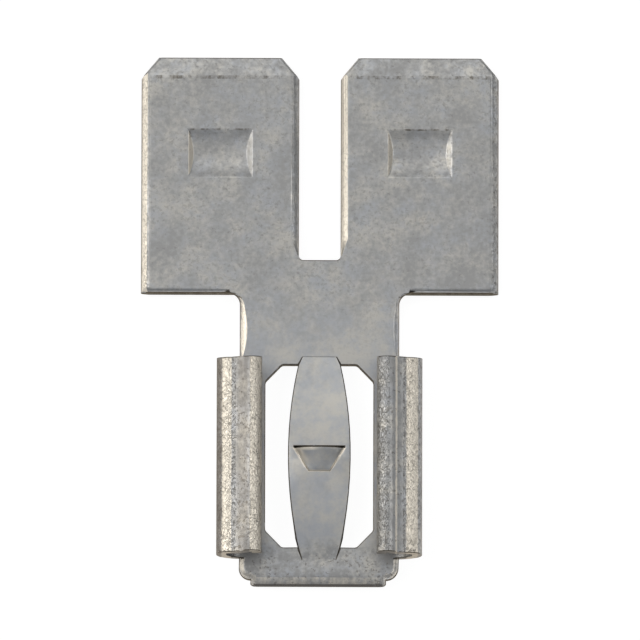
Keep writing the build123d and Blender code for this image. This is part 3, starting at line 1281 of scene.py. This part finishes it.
@dataclass(frozen=True)
class SoftBox:
    """A square lamp that faces the terminal."""

    name: str
    place: tuple[float, float, float]
    side: float
    radiance: float
    colour: tuple[float, float, float] = (1.0, 1.0, 1.0)

    def light(self, aim: Vector) -> None:
        """Hang the lamp.

        Args:
            aim: The place that it faces.
        """
        data = bpy.data.lights.new(self.name, "AREA")
        data.shape = "SQUARE"
        data.size = self.side
        data.energy = self.radiance * math.pi * self.side**2
        data.color = self.colour
        lamp = bpy.data.objects.new(self.name, data)
        lamp.location = self.place
        lamp.rotation_mode = "QUATERNION"
        lamp.rotation_quaternion = (Vector(self.place) - aim).to_track_quat("Z", "Y")
        bpy.context.scene.collection.objects.link(lamp)


@dataclass
class Studio:
    """A plain pale floor under plain soft light, and the camera."""

    lamps: tuple[SoftBox, ...] = (
        SoftBox("left_low", (-0.62, 0.08, 0.20), 0.34, 1.8, (1.0, 0.955, 0.87)),
        SoftBox("left_high", (-0.38, 0.10, 0.52), 0.38, 2.2, (1.0, 0.97, 0.92)),
        SoftBox("right_high", (0.42, 0.02, 0.48), 0.36, 1.3, (1.0, 0.98, 0.94)),
        SoftBox("back_window", (0.0, 0.42, 0.62), 0.42, 1.0, (1.0, 0.985, 0.95)),
        SoftBox("overhead", (-0.08, -0.14, 0.78), 0.60, 0.38),
    )
    world_level: float = 0.26
    world_tint: tuple = (0.93, 0.96, 1.0, 1.0)
    floor_side: float = 3.0
    floor_colour: tuple = (0.18, 0.18, 0.18, 1.0)
    floor_glow: float = 0.92
    aim: tuple = (0.000015, 0.000048, 0.0008)
    distance: float = 1.0
    field: float = 0.025512
    clip_ratio: float = 10.0
    sensor: float = 36.0
    pitch: float = math.radians(8.757)
    yaw: float = math.radians(0.279)
    roll: float = math.radians(0.153)

    def build(self) -> None:
        """Set the floor, the world, the lamps and the camera."""
        self._floor()
        self._world()
        for lamp in self.lamps:
            lamp.light(Vector(self.aim))
        self._camera()
        bpy.context.scene.view_settings.view_transform = "Standard"
        log.info("studio: %d lamps", len(self.lamps))

    def _floor(self) -> None:
        """Lay the floor, white to the camera and to reflections, with the terminal's soft shadow."""
        half = self.floor_side / 2
        mesh = bpy.data.meshes.new("floor")
        corners = [(-half, -half, 0.0), (half, -half, 0.0), (half, half, 0.0), (-half, half, 0.0)]
        mesh.from_pydata(corners, [], [(0, 1, 2, 3)])
        made = bpy.data.materials.new("pale_floor")
        graph = clear_graph(made)
        surface = graph.add("ShaderNodeBsdfDiffuse", {"Color": self.floor_colour})
        strength = graph.product(self._seen(graph), self.floor_glow)
        glow = graph.add("ShaderNodeEmission", {"Strength": strength})
        both = graph.add("ShaderNodeAddShader", {0: surface.outputs[0], 1: glow.outputs[0]})
        graph.add("ShaderNodeOutputMaterial", {"Surface": both.outputs[0]})
        mesh.materials.append(made)
        floor = bpy.data.objects.new("floor", mesh)
        bpy.context.scene.collection.objects.link(floor)

    @staticmethod
    def _seen(graph: Graph) -> Socket:
        """Tell the rays that see the floor white from the rest.

        Args:
            graph: The graph of the floor's material.

        Returns:
            A socket of 1 for rays of the camera, of reflections and through glass, and 0 for the rest.
        """
        path = graph.add("ShaderNodeLightPath")
        rays = graph.larger(path.outputs["Is Camera Ray"], path.outputs["Is Glossy Ray"])
        return graph.larger(rays, path.outputs["Is Transmission Ray"])

    def _world(self) -> None:
        """Set the dim even world, which the camera sees as white."""
        world = bpy.data.worlds.new("studio")
        graph = clear_graph(world)
        camera = graph.add("ShaderNodeLightPath").outputs["Is Camera Ray"]
        even = graph.add("ShaderNodeBackground", {"Color": self.world_tint, "Strength": self.world_level})
        white = graph.add("ShaderNodeBackground", {"Color": (1.0, 1.0, 1.0, 1.0), "Strength": 1.0})
        mixed = graph.add("ShaderNodeMixShader", {0: camera, 1: even.outputs[0], 2: white.outputs[0]})
        graph.add("ShaderNodeOutputWorld", {"Surface": mixed.outputs[0]})
        bpy.context.scene.world = world

    def _camera(self) -> None:
        """Set the camera over the terminal, a little towards the mouth."""
        level = math.cos(self.pitch)
        back = Vector((-math.sin(self.yaw) * level, -math.sin(self.pitch), math.cos(self.yaw) * level))
        back.normalize()
        right = Vector((0.0, 1.0, 0.0)).cross(back).normalized()
        right.rotate(Matrix.Rotation(self.roll, 3, back))
        up = back.cross(right)
        data = bpy.data.cameras.new("camera")
        data.sensor_width = self.sensor
        data.lens = self.sensor * self.distance / self.field
        data.clip_start = self.distance / self.clip_ratio
        data.clip_end = self.distance * self.clip_ratio
        camera = bpy.data.objects.new("camera", data)
        camera.rotation_mode = "QUATERNION"
        camera.rotation_quaternion = Matrix((right, up, back)).transposed().to_quaternion()
        camera.location = Vector(self.aim) + back * self.distance
        bpy.context.scene.collection.objects.link(camera)
        bpy.context.scene.camera = camera


def clear_start_objects() -> None:
    """Remove what Blender starts with, apart from the frame."""
    kept = set(frame["nodes"].values()) | set(frame["bodies"].values())
    for thing in list(bpy.data.objects):
        if thing not in kept:
            bpy.data.objects.remove(thing)


def main() -> None:
    """Build the terminal and its studio, in order."""
    logging.basicConfig(level=logging.INFO, format="%(name)s %(message)s")
    clear_start_objects()
    effects = SurfaceEffects()
    sheet = TerminalSheet().build(effects)
    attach(sheet, BODY)
    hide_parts(NODE)
    Studio().build()


if __name__ == "__main__":
    main()
